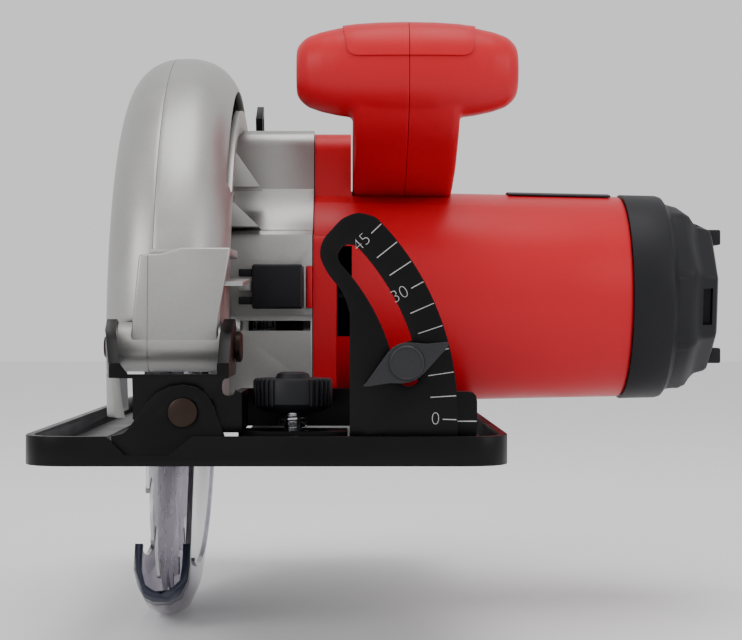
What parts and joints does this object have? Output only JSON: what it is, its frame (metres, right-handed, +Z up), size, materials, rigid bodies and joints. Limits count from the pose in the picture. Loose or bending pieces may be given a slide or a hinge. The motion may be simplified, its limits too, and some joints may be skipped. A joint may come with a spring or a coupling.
{
  "type": "circular saw",
  "caption": "Hand-held circular saw with tilting sole, blade hood, swinging clear lower guard, motor housing, rear grip and front T-handle.",
  "frame": {"origin": "centre of the sole's flat underside", "axes": "+Z up, +X along the motor away from the blade, -Y towards the front of the saw"},
  "size_m": [0.247, 0.313, 0.2203],
  "materials": {
    "black_steel": "semi-gloss black powder coat on pressed steel",
    "grey_casting": "silver-grey paint on a fine-grained light alloy casting",
    "red_plastic": "satin red moulded plastic with fine texture",
    "black_plastic": "matt black moulded plastic",
    "lever_grey": "dark grey textured plastic",
    "clear_plastic": "smoke-tinted clear plastic",
    "bright_steel": "zinc-plated or ground steel",
    "dark_steel": "oiled dark steel",
    "copper": "enamelled copper",
    "core_steel": "stacked electrical steel",
    "carbon": "pressed carbon"
  },
  "bodies": {
    "base": {"base_plate": "black_steel", "bevel_quadrant": "black_steel", "front_tilt_rivet": "dark_steel", "rear_tilt_rivet": "dark_steel", "guide_clamp": "black_steel", "guide_spring": "bright_steel"},
    "guide_knob": {"guide_knob": "black_plastic", "guide_knob_bolt": "bright_steel"},
    "bevel_clamp": {"bevel_clamp_bolt": "bright_steel", "bevel_clamp_washer": "bright_steel"},
    "bevel_lever": {"bevel_lever": "lever_grey"},
    "tilt_frame": {"front_bracket": "black_steel", "depth_guide": "black_steel", "hinge_pin": "dark_steel"},
    "saw": {"upper_guard": "grey_casting", "guard_cover": "grey_casting", "gear_housing": "grey_casting", "gear_cover": "grey_casting", "motor_housing": "red_plastic", "rear_cap": "black_plastic", "name_plate": "lever_grey", "t_handle_left": "red_plastic", "t_handle_right": "red_plastic", "main_handle_left": "red_plastic", "main_handle_right": "red_plastic", "cord_gland": "black_plastic", "switch_body": "black_plastic", "stator_core": "core_steel", "field_coil_upper": "copper", "field_coil_lower": "copper", "fan_baffle": "black_plastic", "brush_holder_front": "dark_steel", "brush_front": "carbon", "brush_holder_rear": "dark_steel", "brush_rear": "carbon", "armature_bearing_front": "bright_steel", "armature_bearing_rear": "bright_steel", "spindle_bearing_outer": "bright_steel", "spindle_bearing_inner": "bright_steel", "guard_retainer": "bright_steel", "guard_spring": "bright_steel"},
    "armature": {"armature_shaft": "bright_steel", "armature_core": "core_steel", "commutator": "copper", "fan": "black_plastic"},
    "spindle": {"spindle": "bright_steel", "drive_gear": "bright_steel", "blade": "bright_steel", "inner_flange": "bright_steel", "outer_flange": "bright_steel", "blade_bolt": "dark_steel"},
    "lower_guard": {"lower_guard": "clear_plastic", "guard_lever": "black_steel"},
    "trigger": {"trigger": "black_plastic"},
    "lock_off": {"lock_off_button": "black_plastic"},
    "spindle_lock": {"spindle_lock_button": "black_plastic"},
    "depth_lock": {"depth_lock_bolt": "bright_steel", "depth_lock_lever": "lever_grey"}
  },
  "joints": [
    {"name": "bevel_tilt", "type": "hinge", "parent": "base", "child": "tilt_frame", "pos_m": [-0.0252, 0, 0.0161], "axis": [0, -1, 0], "range_deg": [0, 45]},
    {"name": "depth_pivot", "type": "hinge", "parent": "tilt_frame", "child": "saw", "pos_m": [0, -0.107, 0.0355], "axis": [1, 0, 0], "range_deg": [0, 29]},
    {"name": "guard_swing", "type": "hinge", "parent": "saw", "child": "lower_guard", "pos_m": [-0.033, 0.005, 0.034], "axis": [1, 0, 0], "range_deg": [0, 97], "stiffness_Nm_per_rad": 0.12, "springref_deg": -51.57},
    {"name": "blade_spin", "type": "hinge", "parent": "saw", "child": "spindle", "pos_m": [-0.043, 0.005, 0.034], "axis": [1, 0, 0], "continuous": true},
    {"name": "armature_spin", "type": "hinge", "parent": "saw", "child": "armature", "pos_m": [0.07, 0.02294, 0.05337], "axis": [1, 0, 0], "continuous": true},
    {"name": "bevel_clamp_travel", "type": "hinge", "parent": "base", "child": "bevel_clamp", "pos_m": [-0.0252, -0.139, 0.0161], "axis": [0, -1, 0], "range_deg": [0, 31.2]},
    {"name": "bevel_lever_turn", "type": "hinge", "parent": "bevel_clamp", "child": "bevel_lever", "pos_m": [0.04272, -0.145, 0.03128], "axis": [0, -1, 0], "range_deg": [0, 60]},
    {"name": "guide_knob_turn", "type": "hinge", "parent": "base", "child": "guide_knob", "pos_m": [0.0077, -0.12, 0.02], "axis": [0, 0, 1], "continuous": true},
    {"name": "depth_lock_turn", "type": "hinge", "parent": "saw", "child": "depth_lock", "pos_m": [-0.008, 0.12412, 0.01528], "axis": [1, 0, 0], "range_deg": [-60, 0]},
    {"name": "trigger_squeeze", "type": "slide", "parent": "saw", "child": "trigger", "axis": [0, 0, 1], "range_m": [0, 0.005], "stiffness_N_per_m": 600, "springref_m": -0.002},
    {"name": "lock_off_press", "type": "slide", "parent": "saw", "child": "lock_off", "axis": [-1, 0, 0], "range_m": [0, 0.003], "stiffness_N_per_m": 500, "springref_m": -0.002},
    {"name": "spindle_lock_press", "type": "slide", "parent": "saw", "child": "spindle_lock", "axis": [0, 1, 0], "range_m": [0, 0.0035], "stiffness_N_per_m": 600, "springref_m": -0.002}
  ],
  "couplings": [
    {"joint": "armature_spin", "follows": "blade_spin", "ratio": -3.8},
    {"joint": "bevel_clamp_travel", "follows": "bevel_tilt", "ratio": 0.6933}
  ]
}
